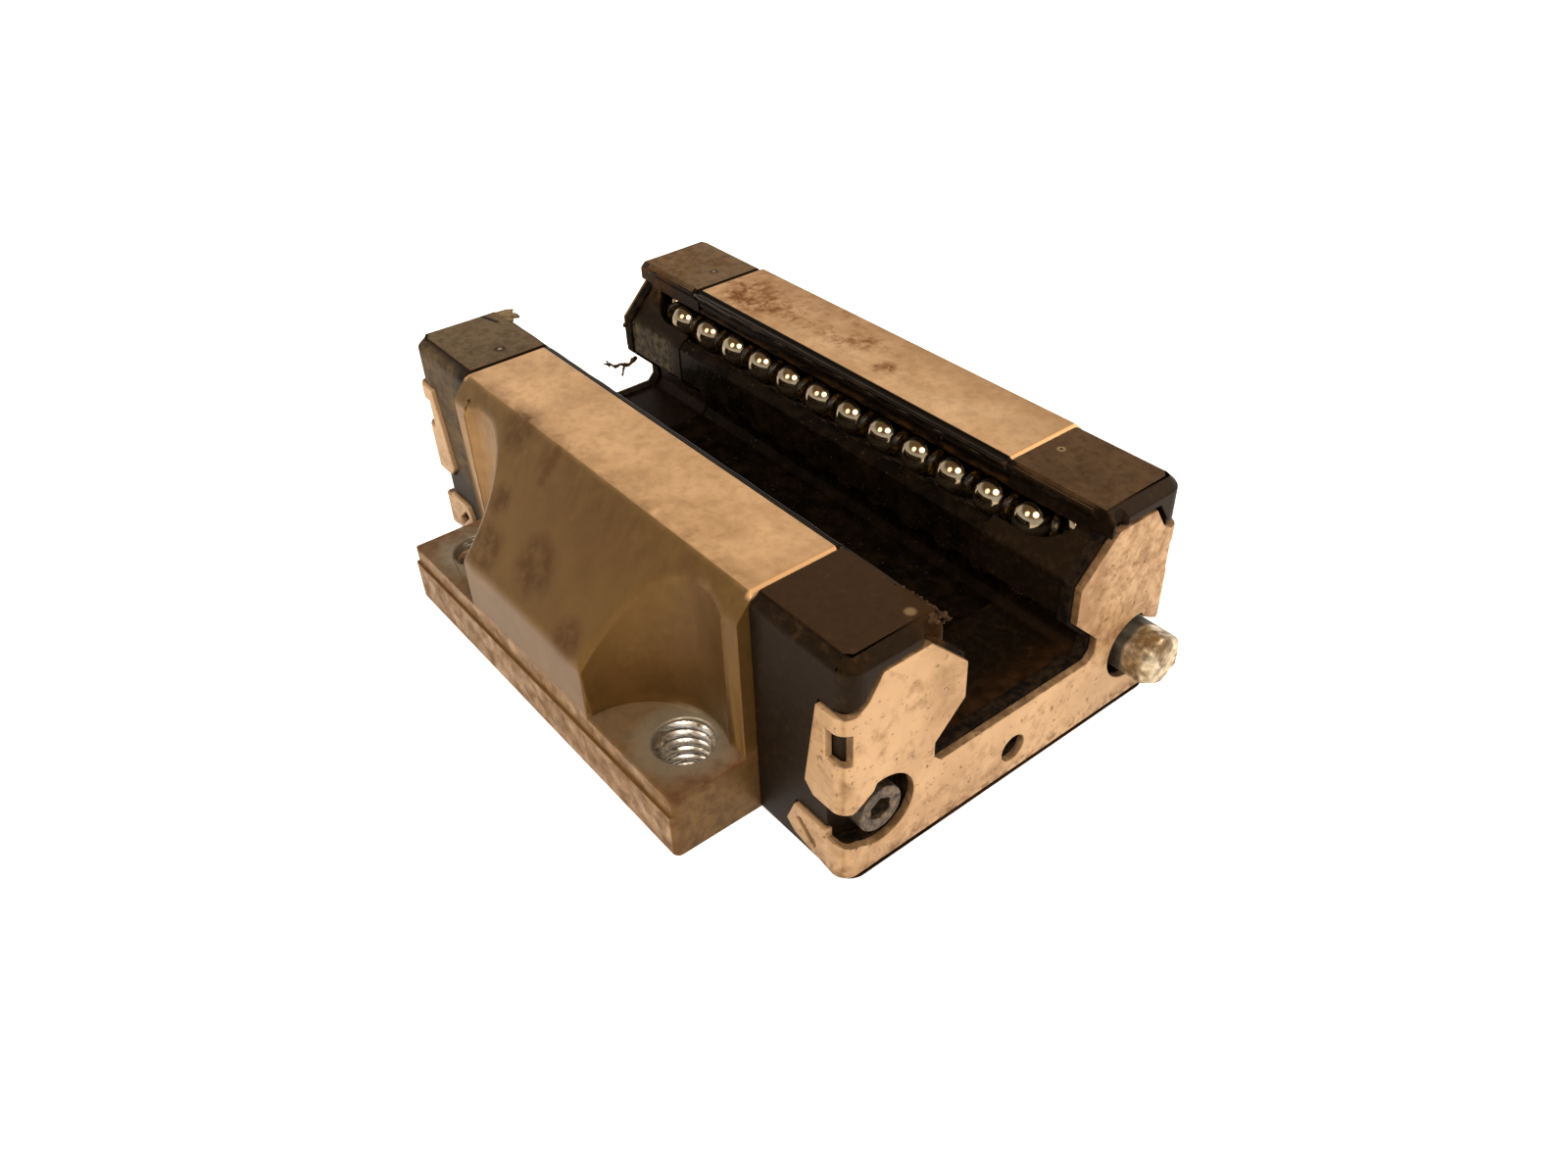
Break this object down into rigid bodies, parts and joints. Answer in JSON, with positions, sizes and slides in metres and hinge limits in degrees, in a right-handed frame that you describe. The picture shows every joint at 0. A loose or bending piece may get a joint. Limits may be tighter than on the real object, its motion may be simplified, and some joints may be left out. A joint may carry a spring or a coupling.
{
  "type": "linear guide carriage",
  "caption": "Flanged ball-bearing carriage of a profile rail guide: steel block, plastic end caps with bent sheet end plates, and ball circuits along an open rail channel.",
  "frame": {"origin": "centre of the flat mounting face", "axes": "+X along the rail, +Y across it, +Z out of the mounting face's back, towards the leg tips"},
  "size_m": [0.0906, 0.07, 0.0292],
  "materials": {
    "block_steel": "ground, worn, with rust spots",
    "race_steel": "hardened and ground",
    "ball_steel": "polished",
    "sheet_steel": "rolled, worn, with rust spots",
    "screw_steel": "oiled and dirty",
    "black_plastic": "moulded, worn",
    "spacer_plastic": "moulded, oily",
    "seal_rubber": "matt"
  },
  "bodies": {
    "root": {"balls_deck_left": "ball_steel", "balls_deck_right": "ball_steel", "balls_tip_left": "ball_steel", "balls_tip_right": "ball_steel", "cap_screw_front": "screw_steel", "cap_screws_rear": "screw_steel", "carriage_body": "block_steel", "end_cap_front": "black_plastic", "end_cap_rear": "black_plastic", "end_plate_front": "sheet_steel", "end_plate_rear": "sheet_steel", "end_seal_front": "seal_rubber", "end_seal_rear": "seal_rubber", "floor_guide": "black_plastic", "hex_flange_screw": "screw_steel", "middle_guide_left": "black_plastic", "middle_guide_right": "black_plastic", "raceway_insert_left": "race_steel", "raceway_insert_right": "race_steel", "return_cores_front": "black_plastic", "return_cores_rear": "black_plastic", "spacers_deck_left": "spacer_plastic", "spacers_deck_right": "spacer_plastic", "spacers_tip_left": "spacer_plastic", "spacers_tip_right": "spacer_plastic", "tip_guide_left": "black_plastic", "tip_guide_right": "black_plastic"}
  },
  "joints": []
}
